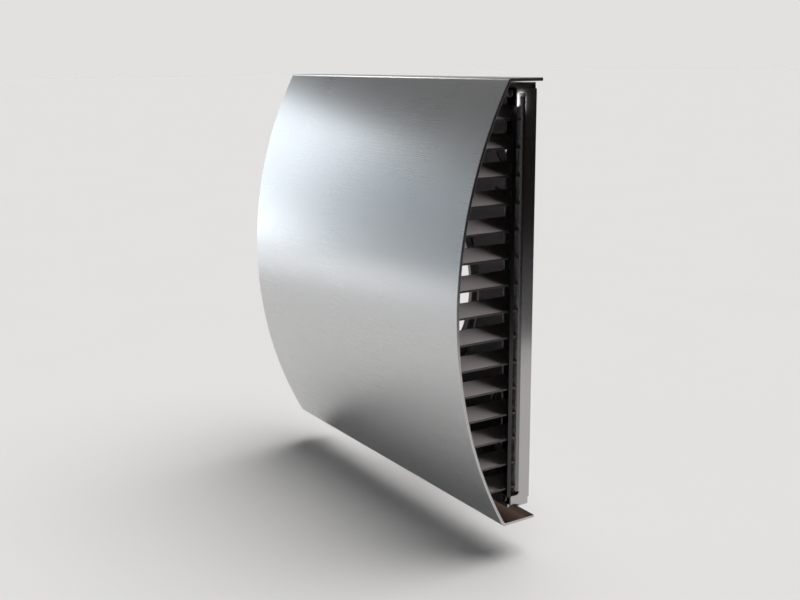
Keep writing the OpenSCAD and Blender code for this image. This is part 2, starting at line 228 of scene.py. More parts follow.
COVER_FACE = StainlessFinish("satin_cover_steel", Grain.ALONG_X, 0.28)
COVER_CUT = StainlessFinish("cut_cover_edge", Grain.EVEN, 0.20, (0.50, 0.48, 0.48))
# Painted shade: the cover's inner face is the same steel as its front, darkened because the inside of the
# hood lies in shade.
COVER_BACK_PAINTED_SHADE = StainlessFinish("inner_cover_steel", Grain.ALONG_X, 0.30, (0.12, 0.11, 0.11))
# Painted shade: the upper face of the bottom flange, under the cover's bulge, is darkened and tinted brown.
COVER_SILL_PAINTED_SHADE = StainlessFinish("lower_flange_painted_shade", Grain.ALONG_X, 0.25, (0.20, 0.11, 0.08))
BLADE_STRIP = StainlessFinish("blade_strip_steel", Grain.ALONG_Y, 0.38, (0.38, 0.37, 0.37))
# Painted shade: each blade's upright lip is the same steel as its slope, darkened to give a shadow line
# under the blade.
BLADE_LIP_PAINTED_SHADE = StainlessFinish("blade_lip_steel", Grain.ALONG_Y, 0.30, (0.10, 0.095, 0.095))
DUCT_OUTSIDE = StainlessFinish("rolled_duct_steel", Grain.ALONG_Y, 0.32, (0.56, 0.56, 0.565))
# Painted shade: the spigot's mouth and bore are the same rolled steel as its outside, darkened because they
# lie in shade.
DUCT_BORE_PAINTED_SHADE = StainlessFinish("duct_bore_painted_shade", Grain.ALONG_Y, 0.30, (0.24, 0.235, 0.235))
RIVET = StainlessFinish("rivet_steel", Grain.EVEN, 0.30, (0.22, 0.215, 0.21), lines_per_metre=900.0)
FIXING = StainlessFinish("fixing_steel", Grain.EVEN, 0.28, lines_per_metre=900.0)
MILL = StainlessFinish("mill_frame_steel", Grain.ALONG_Z, 0.16, (0.47, 0.46, 0.46))
PAN = StainlessFinish("pan_steel", Grain.ALONG_Z, 0.60, (0.66, 0.66, 0.66))
PLATE = StainlessFinish("plate_steel", Grain.ALONG_X, 0.24)
# Painted shade: the louvre posts are stainless, near black here for the deep shade that lies on them in the
# channel.
POST = StainlessFinish("post_steel", Grain.ALONG_Z, 0.18, (0.05, 0.048, 0.048))
# Painted shade: the side panels' rolled folds are darkened into a dark line that catches no highlight.
PANEL_FOLD_PAINTED_SHADE = StainlessFinish("rolled_fold_painted_shade", Grain.ALONG_Z, 0.24, (0.22, 0.21, 0.21))
# Painted reflection: the side panels' front webs are lighter and more bluish than the steel, standing for
# bright reflections in the channel.
PANEL_WEB_PAINTED_SHEEN = StainlessFinish("folded_web_painted_sheen", Grain.ALONG_Z, 0.55, (0.72, 0.74, 0.76))


def materials(*finishes: StainlessFinish) -> list[bpy.types.Material]:
    """The material of each finish, in order."""
    return [finish.material() for finish in finishes]


def grid_quads(rows: int, columns: int, loop_rows: bool = False, loop_columns: bool = False) -> np.ndarray:
    """Numbers the quads of a grid of points that is stored row by row.

    Args:
        rows: number of rows.
        columns: number of points in each row.
        loop_rows: whether the last row joins the first.
        loop_columns: whether each row's last point joins its first.

    Returns:
        An array of four point numbers a quad.
    """
    row, column = np.meshgrid(
        np.arange(rows - (not loop_rows)), np.arange(columns - (not loop_columns)), indexing="ij"
    )
    below, beside = (row + 1) % rows, (column + 1) % columns
    corners = [r * columns + c for r, c in ((row, column), (below, column), (below, beside), (row, beside))]
    return np.stack(corners, axis=-1).reshape(-1, 4)


def band(first: np.ndarray, second: np.ndarray) -> np.ndarray:
    """Quads between two closed loops of as many point numbers each."""
    return np.stack([first, np.roll(first, -1), np.roll(second, -1), second], axis=-1)


def eased_span(
    start: np.ndarray | float, end: np.ndarray | float, easing: float, inner: int = 2
) -> np.ndarray:
    """Places from start to end, close together where the sheet's border is rounded.

    Near each end they lie at easing times (1 - cos turn), for even turns of a quarter
    circle, so that the rounding has even facets. Between the borders they are even.

    Args:
        start: first place, one number or one a row.
        end: last place, in the same form.
        easing: radius of the rounded border.
        inner: stretches between the two borders.

    Returns:
        One row of places for each start.
    """
    turn = np.linspace(0.0, math.pi / 2, BORDER)
    rise = easing * (1.0 - np.cos(turn))
    start, end = np.atleast_1d(start)[:, None], np.atleast_1d(end)[:, None]
    way = np.sign(end - start)
    share = np.linspace(0.0, 1.0, inner + 1)[1:-1]
    middle = (start + way * easing) + share * (end - start - 2 * way * easing)
    return np.concatenate([start + way * rise, middle, end - way * rise[::-1]], axis=1)


def eased_fall(places: np.ndarray, axis: int, easing: float) -> np.ndarray:
    """How much thinner half the sheet is near its borders, as a quarter circle in section.

    With d the way along the sheet to the nearest border, it is the radius minus the
    root of (radius squared minus (radius - d) squared), and nothing beyond the radius.

    Args:
        places: grid of points.
        axis: the way to measure along, 0 down the rows or 1 along them.
        easing: radius of the rounding.

    Returns:
        The fall at each point.
    """
    lengths = np.linalg.norm(np.diff(places, axis=axis), axis=-1)
    pad = [(0, 0), (0, 0)]
    pad[axis] = (1, 0)
    gone = np.pad(np.cumsum(lengths, axis=axis), pad)
    whole = np.take(gone, [-1], axis=axis)
    near = np.minimum(gone, whole - gone)
    reach = np.clip(easing - near, 0.0, easing)
    return easing - np.sqrt(np.maximum(easing**2 - reach**2, 0.0))


@dataclass
class Surface:
    """Points and quads of one or more closed surfaces, with a finish number for each quad."""

    points: np.ndarray
    quads: np.ndarray
    finishes: np.ndarray

    @classmethod
    def joined(cls, parts: list["Surface"]) -> "Surface":
        """Joins several surfaces.

        Args:
            parts: the surfaces.

        Returns:
            All of them as one.
        """
        first = np.cumsum([0] + [len(p.points) for p in parts[:-1]])
        return cls(
            np.concatenate([p.points for p in parts]),
            np.concatenate([p.quads + f for p, f in zip(parts, first)]),
            np.concatenate([p.finishes for p in parts]),
        )

    def mirrored(self) -> "Surface":
        """The same surface with X turned round; its normals are worked out when it becomes a mesh."""
        return Surface(self.points * [-1.0, 1.0, 1.0], self.quads, self.finishes)

    def used(self) -> "Surface":
        """The same surface without the points that no quad uses."""
        kept, numbers = np.unique(self.quads, return_inverse=True)
        return Surface(self.points[kept], numbers.reshape(-1, 4), self.finishes)


def folded_sheet(
    middle: np.ndarray,
    outward: np.ndarray,
    thickness: float,
    easing: float,
    cut_finish: int = 0,
    inner_finish: int = 0,
) -> Surface:
    """A sheet of even thickness over a grid, with rounded borders.

    Its two faces are the middle surface plus and minus half the thickness along the
    outward direction, less the quarter-circle fall near each border.

    Args:
        middle: points of the middle surface, rows by columns by 3.
        outward: unit directions there.
        thickness: of the sheet.
        easing: radius of the rounded borders.
        cut_finish: finish number of the cut borders.
        inner_finish: finish number of the inner face.

    Returns:
        The closed surface.
    """
    rows, columns = middle.shape[:2]
    fall = np.maximum(eased_fall(middle, 0, easing), eased_fall(middle, 1, easing))
    half = (thickness / 2 - fall)[..., None] * outward
    points = np.concatenate([(middle + half).reshape(-1, 3), (middle - half).reshape(-1, 3)])
    face = grid_quads(rows, columns)
    numbers = np.arange(rows * columns).reshape(rows, columns)
    rim = np.concatenate([numbers[0], numbers[1:, -1], numbers[-1, -2::-1], numbers[-2:0:-1, 0]])
    edge = band(rim, rim + rows * columns)
    quads = np.concatenate([face, face + rows * columns, edge])
    kinds = [np.zeros(len(face), int), np.full(len(face), inner_finish), np.full(len(edge), cut_finish)]
    return Surface(points, quads, np.concatenate(kinds))


def turned(profile: np.ndarray, centre: Triple, steps: int, closed: bool) -> Surface:
    """A profile of radius and depth turned about a line along Y.

    The point at turn t is centre + (radius sin t, depth, radius cos t).

    Args:
        profile: rows of radius and depth.
        centre: a point on the line, from which depth is counted.
        steps: facets round the line.
        closed: whether the profile's last point joins its first; otherwise it starts and ends on the line.

    Returns:
        The closed surface.
    """
    turn = np.arange(steps) * 2 * math.pi / steps
    radius, depth = profile[:, :1], profile[:, 1:]
    points = np.stack([radius * np.sin(turn), depth + 0 * turn, radius * np.cos(turn)], axis=-1)
    quads = grid_quads(len(profile), steps, loop_rows=closed, loop_columns=True)
    return Surface(points.reshape(-1, 3) + np.array(centre), quads, np.zeros(len(quads), int))


def eased_profile(corners: list[tuple[float, float]], easing: float) -> np.ndarray:
    """Rounds the corners of a closed outline with three points each.

    Each corner is replaced by the points of a quadratic curve from the easing's
    length before it to the easing's length after it.

    Args:
        corners: the outline's corners.
        easing: how far from the corner the rounding starts.

    Returns:
        The rounded outline.
    """
    points = np.array(corners, float)
    before = np.roll(points, 1, axis=0) - points
    after = np.roll(points, -1, axis=0) - points
    to_before = before / np.linalg.norm(before, axis=1, keepdims=True)
    to_after = after / np.linalg.norm(after, axis=1, keepdims=True)
    start, end = points + easing * to_before, points + easing * to_after
    return np.stack([start, (start + 2 * points + end) / 4, end], axis=1).reshape(-1, 2)


def added(name: str, data: bpy.types.ID) -> bpy.types.Object:
    """Makes an object of a mesh, a light or a camera.

    Args:
        name: its name.
        data: what it shows.

    Returns:
        The object, in the scene.
    """
    thing = bpy.data.objects.new(name, data)
    bpy.context.scene.collection.objects.link(thing)
    return thing


def make_piece(
    name: str, surface: Surface, finishes: list[bpy.types.Material], slot: Slot, *nodes: str
) -> None:
    """Puts a surface into a mesh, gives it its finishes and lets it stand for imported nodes.

    Args:
        name: name of the piece.
        surface: its closed surface.
        finishes: its materials, in the order of the surface's finish numbers.
        slot: the record's slot that it is finished from.
        *nodes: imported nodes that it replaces.
    """
    mesh = bpy.data.meshes.new(name)
    mesh.vertices.add(len(surface.points))
    mesh.vertices.foreach_set("co", surface.points.astype(np.float32).ravel())
    mesh.loops.add(surface.quads.size)
    mesh.loops.foreach_set("vertex_index", surface.quads.astype(np.int32).ravel())
    mesh.polygons.add(len(surface.quads))
    mesh.polygons.foreach_set("loop_start", np.arange(0, surface.quads.size, 4, dtype=np.int32))
    mesh.polygons.foreach_set("material_index", surface.finishes.astype(np.int32))
    mesh.update(calc_edges=True)
    work = bmesh.new()
    work.from_mesh(mesh)
    bmesh.ops.remove_doubles(work, verts=work.verts, dist=SAME_POINT)
    bmesh.ops.recalc_face_normals(work, faces=work.faces)
    work.to_mesh(mesh)
    work.free()
    mesh.shade_smooth()
    mesh.set_sharp_from_angle(angle=SHARP_SURFACE)
    piece = added(name, mesh)
    piece.modifiers.new("even_shading", "WEIGHTED_NORMAL").keep_sharp = True
    for finish in finishes:
        mesh.materials.append(finish)
    settle(piece, slot, *nodes)


def by_way(normals: np.ndarray, axis: int, steps: tuple[float, ...]) -> np.ndarray:
    """Finish numbers of faces: how many of the steps their normal's share along an axis passes."""
    return (np.abs(normals[:, axis : axis + 1]) > np.array(steps)).sum(axis=1)


def eased_copy(
    node: str,
    name: str,
    finishes: list[bpy.types.Material],
    slot: Slot,
    easing: float,
    axis: int = 0,
    steps: tuple[float, ...] = (),
) -> None:
    """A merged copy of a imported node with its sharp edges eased, to stand for it.

    Args:
        node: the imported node.
        name: name of the copy.
        finishes: its materials.
        slot: the record's slot that it is finished from.
        easing: width of the eased edges.
        axis: the axis that the finishes go by, 0 for X and 1 for Y.
        steps: shares of a face's normal along that axis, past each of which the next finish starts.
    """
    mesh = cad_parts[node].data.copy()
    mesh.name = name
    work = bmesh.new()
    work.from_mesh(mesh)
    bmesh.ops.remove_doubles(work, verts=work.verts, dist=SAME_POINT_COPY)
    bmesh.ops.dissolve_limit(work, angle_limit=FLAT, verts=work.verts, edges=work.edges)
    work.to_mesh(mesh)
    work.free()
    mesh.materials.clear()
    for finish in finishes:
        mesh.materials.append(finish)
    normals = np.empty(3 * len(mesh.polygons), np.float32)
    mesh.polygons.foreach_get("normal", normals)
    kinds = by_way(normals.reshape(-1, 3), axis, steps)
    mesh.polygons.foreach_set("material_index", kinds.astype(np.int32))
    mesh.shade_smooth()
    mesh.set_sharp_from_angle(angle=SHARP_COPY)
    piece = added(name, mesh)
    bevel = piece.modifiers.new("eased_edges", "BEVEL")
    bevel.width = easing
    bevel.segments = 2
    bevel.limit_method = "ANGLE"
    bevel.angle_limit = SHARP_COPY
    bevel.harden_normals = True
    bevel.use_clamp_overlap = True
    settle(piece, slot, node)


def settle(piece: bpy.types.Object, slot: Slot, *nodes: str) -> None:
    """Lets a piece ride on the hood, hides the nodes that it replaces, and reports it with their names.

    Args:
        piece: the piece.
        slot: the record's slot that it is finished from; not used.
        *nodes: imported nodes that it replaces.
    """
    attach(piece, "root")
    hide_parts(*nodes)
    log.info("%s stands for %s", piece.name, ", ".join(nodes))


@dataclass
class FrontCover:
    """The curved front: one sheet with a straight flange at top and bottom, seated on two screws."""

    width: float = 270 * MM
    height: float = 275 * MM
    straight: float = 24.9 * MM
    rise: float = 36.4 * MM
    thickness: float = 2 * MM
    inner_fold: float = 0.6 * MM
    wall_gap: float = 0.3 * MM
    easing: float = 0.3 * MM
    arc_steps: int = 150
    screw_inset: float = 55 * MM
    screw_depth: float = 7.5 * MM
    screw_radius: float = 2.1 * MM
    seat_radius: float = 3.7 * MM
    seat_field: float = 5 * MM
    seat_lead: float = 0.1 * MM
    seat_lead_depth: float = 0.06 * MM
    field_steps: int = 12
    past_field: float = 2 * MM
    fold_steps: int = 9

    @property
    def arc_radius(self) -> float:
        """Radius of the outer face, from its chord, the height, and its rise."""
        return ((self.height / 2) ** 2 + self.rise**2) / (2 * self.rise)

    @property
    def arc_centre(self) -> float:
        """Y of the arc's centre line."""
        return self.arc_radius - self.straight - self.rise

    def section(self) -> tuple[np.ndarray, np.ndarray, slice]:
        """The middle line of the sheet from the top flange to the bottom flange.

        A flange is straight along Y. A fold turns about its own centre and the front
        about the arc's centre, both at centre + radius (-cos t, sin t) for the turn t.

        Returns:
            The points and outward directions in Y and Z, and the rows of the screws' field.
        """
        outer_fold = self.thickness + self.inner_fold
        fold_z = self.height / 2 - outer_fold
        fold_y = self.arc_centre - math.sqrt((self.arc_radius - outer_fold) ** 2 - fold_z**2)
        meeting = math.asin(fold_z / (self.arc_radius - outer_fold))
        half = self.thickness / 2

        back, front = -self.wall_gap, fold_y
        near, far = -self.screw_depth + self.seat_field, -self.screw_depth - self.seat_field
        border = eased_span(back, front, self.easing)[0, :BORDER]
        field = np.linspace(near, far, self.field_steps + 1)
        flange_y = np.concatenate([border, field, [far - self.past_field, front]])
        flange = np.stack([flange_y, np.full(len(flange_y), self.height / 2 - half)], axis=1)
        up = np.tile([0.0, 1.0], (len(flange), 1))

        fold_turn = np.linspace(math.pi / 2, meeting, self.fold_steps + 1)[1:]
        fold_out = np.stack([-np.cos(fold_turn), np.sin(fold_turn)], axis=1)
        fold = np.array([fold_y, fold_z]) + (outer_fold - half) * fold_out

        arc_turn = np.linspace(meeting, 0.0, self.arc_steps // 2 + 1)[1:]
        arc_out = np.stack([-np.cos(arc_turn), np.sin(arc_turn)], axis=1)
        arc = np.array([self.arc_centre, 0.0]) + (self.arc_radius - half) * arc_out

        upper = np.concatenate([flange, fold, arc])
        upper_out = np.concatenate([up, fold_out, arc_out])
        lower, lower_out = (a[-2::-1] * [1.0, -1.0] for a in (upper, upper_out))
        points = np.concatenate([upper, lower])
        last = len(points) - len(border)
        return points, np.concatenate([upper_out, lower_out]), slice(last - len(field), last)

    def surface(self) -> Surface:
        """Makes the whole cover with its two screw seats.

        Returns:
            One closed surface.
        """
        line, out, field_rows = self.section()
        ends = eased_span(-self.width / 2, self.width / 2, self.easing)[0]
        screws = [side.value * (self.width / 2 - self.screw_inset) for side in (Side.LEFT, Side.RIGHT)]
        reach, count = self.seat_field, self.field_steps + 1
        fields = [np.linspace(x - reach, x + reach, count) for x in screws]
        across = np.concatenate([ends[:BORDER], fields[0], [0.0], fields[1], ends[-BORDER:]])
        middle = np.empty((len(line), len(across), 3))
        middle[..., 0] = across
        middle[..., 1:] = line[:, None, :]
        outward = np.zeros_like(middle)
        outward[..., 1:] = out[:, None, :]
        sheet = folded_sheet(middle, outward, self.thickness, self.easing, CoverFace.CUT, CoverFace.INNER)
        for field, x in zip(fields, screws):
            first = int(np.argmin(np.abs(across - field[0])))
            sheet = self.with_seat(sheet, middle.shape[:2], field_rows, first, x)
        return sheet.used()

    def with_seat(
        self, sheet: Surface, shape: tuple[int, int], rows: slice, first: int, centre_x: float
    ) -> Surface:
        """Cuts one countersunk hole into the bottom flange.

        The square field of quads round the hole is taken out of both faces, and a
        profile of radius and height is carried round the hole from one square to the
        other, at the same turns as the points of the squares.

        Args:
            sheet: the sheet so far.
            shape: rows and columns of its grid.
            rows: rows of the field.
            first: first column of the field.
            centre_x: X of the hole's centre.

        Returns:
            The sheet with the hole.
        """
        count = shape[0] * shape[1]
        numbers = np.arange(count).reshape(shape)[rows, first : first + self.field_steps + 1]
        inside = np.zeros(len(sheet.points), bool)
        inside[numbers] = inside[numbers + count] = True
        keep = ~inside[sheet.quads].all(axis=1)
        rim = np.concatenate([numbers[0, :-1], numbers[:-1, -1], numbers[-1, :0:-1], numbers[:0:-1, 0]])
        offset = sheet.points[rim, :2] - [centre_x, -self.screw_depth]
        toward = offset / np.linalg.norm(offset, axis=1, keepdims=True)
        seat, screw = self.seat_radius, self.screw_radius
        radius = np.array([seat + self.seat_lead, seat, screw, screw])
        level = np.array([0.0, self.seat_lead_depth, seat - screw, self.thickness])
        rings = np.empty((len(radius), len(rim), 3))
        rings[..., :2] = [centre_x, -self.screw_depth] + radius[:, None, None] * toward
        rings[..., 2] = (-self.height / 2 + level)[:, None]
        turns = len(sheet.points) + np.arange(rings.shape[0] * len(rim)).reshape(len(radius), -1)
        loops = [rim, *turns, rim + count]
        wall = np.concatenate([band(a, b) for a, b in zip(loops, loops[1:])])
        return Surface(
            np.concatenate([sheet.points, rings.reshape(-1, 3)]),
            np.concatenate([sheet.quads[keep], wall]),
            np.concatenate([sheet.finishes[keep], np.zeros(len(wall), int)]),
        )

    def build(self) -> None:
        """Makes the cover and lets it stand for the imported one."""
        shape = self.surface()
        height = shape.points[shape.quads].mean(axis=1)[:, 2]
        in_flange = height < -self.height / 2 + self.thickness + self.inner_fold
        # The bottom flange's upper face takes the brown-tinted painted shade; the rest of the inner face
        # takes the plain painted shade.
        shape.finishes[(shape.finishes == CoverFace.INNER) & in_flange] = CoverFace.SILL
        finishes = materials(COVER_FACE, COVER_CUT, COVER_BACK_PAINTED_SHADE, COVER_SILL_PAINTED_SHADE)
        make_piece("curved_cover", shape, finishes, Slot.COVER, "front_cover")


@dataclass
class Louvre:
    """Both stacks of fixed blades, each cut to the inside of the cover."""

    cover: FrontCover
    count: int = 15
    outer_x: float = 128.4 * MM
    first_z: float = -115.5 * MM
    pitch: float = 16.4 * MM
    rise: float = 8 * MM
    run: float = 5 * MM
    lip: float = 1.2 * MM
    thickness: float = 0.8 * MM
    back: float = -11.1 * MM
    tab_back: float = -9.3 * MM
    tab_from: float = 0.5
    tab_to: float = 0.9
    cover_gap: float = 0.3 * MM
    easing: float = 0.14 * MM
    bend: float = 0.5 * MM
    bend_steps: int = 4
    slope_steps: int = 6
    length_steps: int = 4
    # How far above the blade's foot the painted shade reaches.
    lip_shade_reach: float = 0.25 * MM

    @property
    def slope(self) -> float:
        """Length of the slope, from its run and its rise."""
        return math.hypot(self.run, self.rise)

    @property
    def along(self) -> np.ndarray:
        """Unit direction up the slope, in X and Z."""
        return np.array([-self.run, self.rise]) / self.slope

    @property
    def out(self) -> np.ndarray:
        """Unit direction square to the slope and outwards, in X and Z."""
        return np.array([self.rise, self.run]) / self.slope

    def section(self) -> tuple[np.ndarray, np.ndarray]:
        """The middle line of a blade in X and Z, measured from the fold of its outer face.

        The lip is upright, the slope leans inwards, and the fold between them turns
        about its own centre at centre + radius (cos t, sin t).

        Returns:
            The points and the outward directions.
        """
        half = self.thickness / 2
        lean = math.atan2(self.out[1], self.out[0])
        set_back = self.bend * math.tan(lean / 2)
        turn = np.linspace(0.0, lean, self.bend_steps + 1)
        fold_out = np.stack([np.cos(turn), np.sin(turn)], axis=1)
        fold = np.array([-self.bend, -set_back]) + (self.bend - half) * fold_out
        lip = eased_span(-self.lip, -set_back, self.easing)[0, :BORDER]
        lip_line = np.stack([np.full(len(lip), -half), lip], axis=1)
        lip_out = np.tile([1.0, 0.0], (len(lip), 1))
        places = eased_span(set_back, self.slope, self.easing, inner=self.slope_steps)[0, BORDER:]
        slope_line = places[:, None] * self.along - half * self.out
        slope_out = np.tile(self.out, (len(places), 1))
        return np.concatenate([lip_line, fold, slope_line]), np.concatenate([lip_out, fold_out, slope_out])

    def blade(self, number: int) -> Surface:
        """One right-hand blade with its end tab.

        Args:
            number: the blade's place from the bottom, from 0.

        Returns:
            The closed surface: its front end follows the arc y = centre - root(radius squared - z squared).
        """
        base = np.array([self.outer_x, self.first_z + number * self.pitch])
        line, out = self.section()
        x, z = (base + line).T
        radius = self.cover.arc_radius - self.cover.thickness - self.cover_gap
        front = self.cover.arc_centre - np.sqrt(radius**2 - z**2)
        back = np.full(len(z), self.back)
        body = self.strip(x, z, out, eased_span(front, back, self.easing, inner=self.length_steps))
        # The lip, up to a small reach above the blade's foot, takes the painted shade finish.
        height = body.points[body.quads].mean(axis=1)[:, 2]
        body.finishes[height < base[1] + self.lip_shade_reach] = BladeFace.LIP

        share = eased_span(self.tab_from * self.slope, self.tab_to * self.slope, self.easing)[0]
        tab_x, tab_z = (base + (share[:, None] * self.along - self.thickness / 2 * self.out)).T
        near, far = np.full(len(share), self.back), np.full(len(share), self.tab_back)
        tab_out = np.tile(self.out, (len(share), 1))
        return Surface.joined([body, self.strip(tab_x, tab_z, tab_out, eased_span(near, far, self.easing))])

    def strip(self, x: np.ndarray, z: np.ndarray, out: np.ndarray, places: np.ndarray) -> Surface:
        """Carries a section along Y.

        Args:
            x: X of the section's points.
            z: Z of the section's points.
            out: outward directions there, in X and Z.
            places: Y of each point's copies, one row for each point.

        Returns:
            The closed surface.
        """
        middle = np.stack([x[:, None] + 0 * places, places, z[:, None] + 0 * places], axis=-1)
        outward = np.zeros_like(middle)
        outward[..., 0] = out[:, :1]
        outward[..., 2] = out[:, 1:]
        return folded_sheet(middle, outward, self.thickness, self.easing)

    def build(self) -> None:
        """Makes all the blades of both sides."""
        finishes = materials(BLADE_STRIP, BLADE_LIP_PAINTED_SHADE)
        for number in range(self.count):
            surface = self.blade(number)
            for side in Side:
                shape = surface if side is Side.RIGHT else surface.mirrored()
                tail = f"{side.word}_{number + 1:02d}"
                make_piece(f"louvre_strip_{tail}", shape, finishes, Slot.BLADE, f"blade_{tail}")


@dataclass
class DuctSpigot:
    """The round spigot behind the opening, with its turned collar, wide mouth and stop ring."""

    radius: float = 62.2 * MM
    wall: float = 0.7 * MM
    length: float = 38 * MM
    mouth: float = 10 * MM
    mouth_past: float = 1.5 * MM
    collar: float = 6 * MM
    front: float = -3 * MM
    stop_height: float = 1 * MM
    stop_width: float = 2 * MM
    stop_past: float = 2.4 * MM
    taper: float = 4 * MM
    easing: float = 0.1 * MM
    steps: int = 192
    mouth_rings: int = 8
    end_rings: int = 2

    def profile(self) -> np.ndarray:
        """Radius and depth round the whole wall.

        The mouth's inside is a straight line from the collar's face to the bore, and its
        outside lies the wall's thickness from it, measured square to that line.

        Returns:
            The closed profile with its corners rounded.
        """
        bore, face = self.radius - self.wall, self.front - self.wall
        slope = self.mouth / (self.mouth_past - face)
        wall = self.wall * math.hypot(1.0, slope)
        stop_end = self.stop_past + self.stop_width
        return eased_profile(
            [
                (bore, self.mouth_past),
                (bore + self.mouth, face),
                (bore + self.mouth + self.collar, face),
                (bore + self.mouth + self.collar, self.front),
                (bore + (self.mouth_past - self.front) * slope + wall, self.front),
                (self.radius, self.mouth_past + (wall - self.wall) / slope),
                (self.radius, self.stop_past),
                (self.radius + self.stop_height, self.stop_past),
                (self.radius + self.stop_height, stop_end - self.stop_height),
                (self.radius, stop_end),
                (self.radius, self.length - self.taper),
                (self.radius - self.wall / 2, self.length),
                (bore, self.length),
            ],
            self.easing,
        )

    def build(self) -> None:
        """Turns the spigot's profile about the duct's axis, with its mouth and bore as the inside, which
        carries painted shade.
        """
        shape = turned(self.profile(), (0.0, 0.0, 0.0), self.steps, closed=True)
        rings = shape.finishes.reshape(-1, self.steps)
        # The mouth's and the far end's rings take the painted shade finish.
        rings[: self.mouth_rings] = rings[-self.end_rings :] = DuctFace.INSIDE
        make_piece("round_spigot", shape, materials(DUCT_OUTSIDE, DUCT_BORE_PAINTED_SHADE), Slot.DUCT, "duct_spigot")


@dataclass
class Rivets:
    """Blind rivets with a domed head and the small well that their mandrel leaves."""

    shank: float = 1.6 * MM
    head: float = 2.6 * MM
    head_height: float = 0.9 * MM
    well: float = 0.75 * MM
    well_depth: float = 0.35 * MM
    steps: int = 32
    plate_face: float = -3 * MM
    plate_far: float = 95.5 * MM
    plate_near: float = 67.805 * MM
    post_face: float = -16 * MM
    post_x: float = 124.3 * MM
    post_z: tuple[float, float] = (-124.2 * MM, 128.7 * MM)
    plate_shank: float = 3 * MM
    post_shank: float = 2.5 * MM
    well_rim: float = 0.1 * MM
    last_turn: float = 0.12
    dome_steps: int = 6

    def profile(self, length: float) -> np.ndarray:
        """Radius and depth from the well's middle over the head to the end of the shank.

        The head is a quarter of an ellipse: radius head cos t, height sin t.

        Args:
            length: of the shank behind the head's seat.

        Returns:
            The open profile, which starts and ends on the axis.
        """
        top = -self.head_height
        start = math.acos((self.well + self.well_rim) / self.head)
        turn = np.linspace(start, self.last_turn, self.dome_steps + 1)
        dome = np.stack([self.head * np.cos(turn), top * np.sin(turn)], axis=1)
        floor, rim = top + self.well_depth, self.well_rim
        well = np.array([[0.0, floor], [self.well - rim, floor], [self.well, top + rim]])
        foot = np.array([[self.head, 0.0], [self.shank, 0.0], [self.shank, length], [0.0, length]])
        return np.concatenate([well, dome, foot])

    def riveted(self, spots: list[tuple[float, float]], face: float, length: float) -> Surface:
        """Makes one rivet at each spot.

        Args:
            spots: X and Z of each.
            face: Y of the sheet that the heads lie on.
            length: of the shanks.

        Returns:
            The closed surfaces of all.
        """
        profile = self.profile(length)
        return Surface.joined([turned(profile, (x, face, z), self.steps, closed=False) for x, z in spots])

    def build(self) -> None:
        """Makes the rivets of the spigot plate and of the louvre posts."""
        finishes = materials(RIVET)
        ring = [(a * self.plate_far, b * self.plate_near) for a in (-1, 1) for b in (-1, 1)]
        plate = self.riveted(ring + [(z, x) for x, z in ring], self.plate_face, self.plate_shank)
        make_piece("plate_rivet_set", plate, finishes, Slot.FIXING, "plate_rivets")
        ends = [(side.value * self.post_x, z) for side in Side for z in self.post_z]
        post = self.riveted(ends, self.post_face, self.post_shank)
        make_piece("post_rivet_set", post, finishes, Slot.FIXING, "post_rivets")


@dataclass
class FoldedFrame:
    """The back pan, spigot plate, side panels and louvre posts, and the small parts that hold the cover."""

    pan_easing: float = 0.2 * MM
    panel_easing: float = 0.15 * MM
    small_easing: float = 0.1 * MM

    def build(self) -> None:
        """Eases a copy of each sheet and finishes it."""
        mill, pan, post, fixing = materials(MILL, PAN, POST, FIXING)
        eased_copy("back_pan", "wall_pan", [pan, mill], Slot.FRAME, self.pan_easing, 0, (0.9,))
        eased_copy("spigot_plate", "spigot_flange", materials(PLATE), Slot.FRAME, self.pan_easing)
        # Panel faces square to Y take the painted reflection finish, and the rolled folds between them take
        # the painted shade finish.
        panel, panel_steps = [mill, *materials(PANEL_FOLD_PAINTED_SHADE, PANEL_WEB_PAINTED_SHEEN)], (0.2, 0.9)
        small = [
            # The posts take the near-black painted shade finish.
            ("louvre_post", "slotted_post", post, Slot.POST),
            ("cover_hook", "hanging_hook", mill, Slot.FRAME),
            ("cover_spacer", "screw_spacer", fixing, Slot.FIXING),
            ("cover_screw", "socket_screw", fixing, Slot.FIXING),
        ]
        for side in Side:
            node, name = f"side_panel_{side.word}", f"side_wall_{side.word}"
            eased_copy(node, name, panel, Slot.FRAME, self.panel_easing, 1, panel_steps)
            for node, name, finish, slot in small:
                node, name = f"{node}_{side.word}", f"{name}_{side.word}"
                eased_copy(node, name, [finish], slot, self.small_easing)


@dataclass(frozen=True)
class SoftBox:
    """A flat studio lamp: where it stands, what it looks at, its size, level, colour and spread."""

    name: str
    place: Triple
    aim: Triple
    size: tuple[float, float]
    level: float
    colour: Triple = (1.0, 1.0, 1.0)
    spread: float = 180.0

    def build(self) -> None:
        """Adds the lamp, which only the steel sees; its power is pi times its area times its level."""
        data = bpy.data.lights.new(self.name, "AREA")
        data.shape = "RECTANGLE"
        data.size, data.size_y = self.size
        data.energy = math.pi * self.size[0] * self.size[1] * self.level
        data.color = self.colour
        data.spread = math.radians(self.spread)
        lamp = added(self.name, data)
        lamp.location = self.place
        lamp.rotation_mode = "QUATERNION"
        lamp.rotation_quaternion = (Vector(self.aim) - Vector(self.place)).to_track_quat("-Z", "Y")
        lamp.visible_camera = lamp.visible_diffuse = False


@dataclass(frozen=True)
class DistantLight:
    """A wide, even light from far away: the way it shines, its strength, its spread and who sees it."""

    name: str
    way: Triple
    strength: float
    spread: float
    colour: Triple
    on_floor: bool

    def build(self) -> None:
        """Adds the light; it falls on the floor only, or shows in the steel only."""
        data = bpy.data.lights.new(self.name, "SUN")
        data.energy = self.strength
        data.angle = math.radians(self.spread)
        data.color = self.colour
        lamp = added(self.name, data)
        lamp.rotation_mode = "QUATERNION"
        lamp.rotation_quaternion = Vector(self.way).to_track_quat("-Z", "Y")
        lamp.visible_camera = False
        lamp.visible_diffuse = self.on_floor
        lamp.visible_glossy = not self.on_floor


